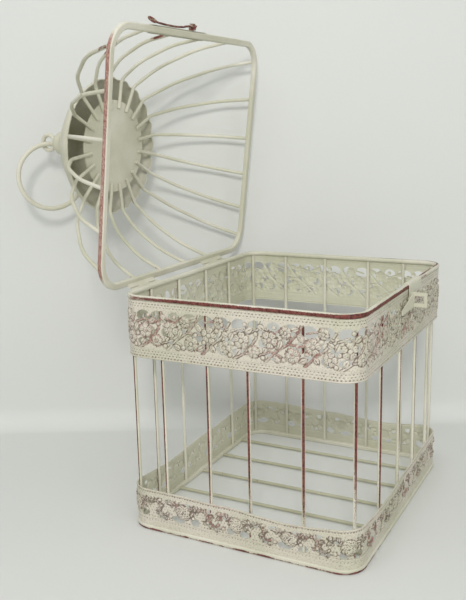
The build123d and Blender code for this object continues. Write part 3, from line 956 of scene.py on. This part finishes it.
VIEW_TURN = math.radians(27.6)                   # the camera looks along this heading, from +X towards +Y
VIEW_DOWN = math.radians(12.3)
VIEW_ROLL = math.radians(-1.3)
EYE = Vector((-0.7003, -0.3012, 0.3612))
LENS = 49.4
SENSOR = 36.0

# The paper sweep, in metres along the camera's heading.
FLOOR_FRONT = -8.0
WALL_START = 0.168
WALL_CURVE = 0.025
CURVE_STEPS = 12
WALL_TOP = 6.0
STAGE_HALF = 9.0                                # half its width


def pale_stage():
    """Pale floor that sweeps up into a wall behind the box. The sheet is clear when seen from behind."""
    n = Nodes("pale_paper")
    tone = n.noise(2.5, 3.0)
    paper = n.mix(tone, linear((211, 213, 210)), linear((217, 219, 215)))
    n.link(paper, n.shader.inputs["Base Color"])
    n.shader.inputs["Roughness"].default_value = 0.85
    n.bump(n.noise(180.0, 3.0), 0.0004, 0.25)
    clear = n.tree.nodes.new("ShaderNodeBsdfTransparent")
    one_sided = n.tree.nodes.new("ShaderNodeMixShader")
    geometry = n.tree.nodes.new("ShaderNodeNewGeometry")
    n.link(geometry.outputs["Backfacing"], one_sided.inputs[0])
    n.link(n.shader.outputs[0], one_sided.inputs[1])
    n.link(clear.outputs[0], one_sided.inputs[2])
    n.link(one_sided.outputs[0], n.output.inputs["Surface"])
    facing = Matrix.Rotation(VIEW_TURN, 3, "Z")
    profile = [(FLOOR_FRONT, 0.0), (0.0, 0.0), (WALL_START, 0.0)]
    for i in range(1, CURVE_STEPS + 1):
        a = math.radians(90.0 / CURVE_STEPS * i)
        profile.append((WALL_START + WALL_CURVE * math.sin(a), WALL_CURVE * (1 - math.cos(a))))
    profile.append((WALL_START + WALL_CURVE, WALL_TOP))
    points, faces = [], []
    for x, z in profile:
        for y in (-STAGE_HALF, STAGE_HALF):
            points.append(tuple(facing @ Vector((x, y, 0)) + Vector((0, 0, z))))
    for i in range(len(profile) - 1):
        a = 2 * i
        faces.append((a, a + 2, a + 3, a + 1))
    mesh = bpy.data.meshes.new("paper_sweep")
    mesh.from_pydata(points, [], faces)
    mesh.materials.append(n.material)
    mesh.shade_smooth()
    floor = bpy.data.objects.new("paper_sweep", mesh)
    bpy.context.scene.collection.objects.link(floor)


def camera():
    """Looks slightly down on the near and latch sides."""
    data = bpy.data.cameras.new("camera")
    data.lens = LENS
    data.sensor_width = SENSOR
    data.clip_start = 0.01
    data.clip_end = 50
    cam = bpy.data.objects.new("camera", data)
    bpy.context.scene.collection.objects.link(cam)
    forward = Vector((math.cos(VIEW_TURN) * math.cos(VIEW_DOWN), math.sin(VIEW_TURN) * math.cos(VIEW_DOWN),
                      -math.sin(VIEW_DOWN)))
    right = forward.cross(Vector((0, 0, 1))).normalized()
    up = right.cross(forward)
    rolled = math.cos(VIEW_ROLL) * right + math.sin(VIEW_ROLL) * up
    upright = -math.sin(VIEW_ROLL) * right + math.cos(VIEW_ROLL) * up
    cam.matrix_world = Matrix(((rolled.x, upright.x, -forward.x, EYE.x),
                               (rolled.y, upright.y, -forward.y, EYE.y),
                               (rolled.z, upright.z, -forward.z, EYE.z),
                               (0, 0, 0, 1)))
    bpy.context.scene.camera = cam


# Name, place, target, size, power and colour of each lamp.
LAMPS = (("key", (-1.36, -0.58, 0.94), (0, 0, 0.2), 0.26, 10.5, (1.0, 0.99, 0.96)),
         ("above", (-0.9, 0.1, 1.6), (0, 0, 0.1), 1.2, 6.0, (1.0, 1.0, 1.0)),
         ("right", (-0.9, -1.6, 0.8), (0, 0, 0.2), 1.4, 4.0, (0.98, 1.0, 1.0)))
ROOM_STRENGTH = 0.52


def area_light(name, place, target, size, power, colour):
    """Round soft lamp that points at its target."""
    data = bpy.data.lights.new(name, "AREA")
    data.shape = "DISK"
    data.size = size
    data.energy = power
    data.color = colour
    lamp = bpy.data.objects.new(name, data)
    bpy.context.scene.collection.objects.link(lamp)
    lamp.location = place
    lamp.rotation_mode = "QUATERNION"
    lamp.rotation_quaternion = (Vector(target) - Vector(place)).to_track_quat("-Z", "Y")


def lights():
    """A key lamp with two larger, weaker ones, in an evenly lit room."""
    for lamp in LAMPS:
        area_light(*lamp)
    world = bpy.data.worlds.new("soft_room")
    world.use_nodes = True
    background = world.node_tree.nodes["Background"]
    background.inputs["Color"].default_value = (1.0, 1.0, 1.0, 1.0)
    background.inputs["Strength"].default_value = ROOM_STRENGTH
    bpy.context.scene.world = world
    bpy.context.scene.view_settings.view_transform = "Standard"


# ================================================================ make

slot_of = {entry["node"]: entry["material_slot"] for entry in frame["record"]["subparts"]}
for node, shown in frame["nodes"].items():
    paint = PAINTS["base_rim"] if node == "base_rim" else PAINTS[slot_of[node]]
    shown.data.materials.clear()
    shown.data.materials.append(paint)

top_band()
base_band()
dome_cap()
latch_hook()
latch_tab()
pale_stage()
camera()
lights()
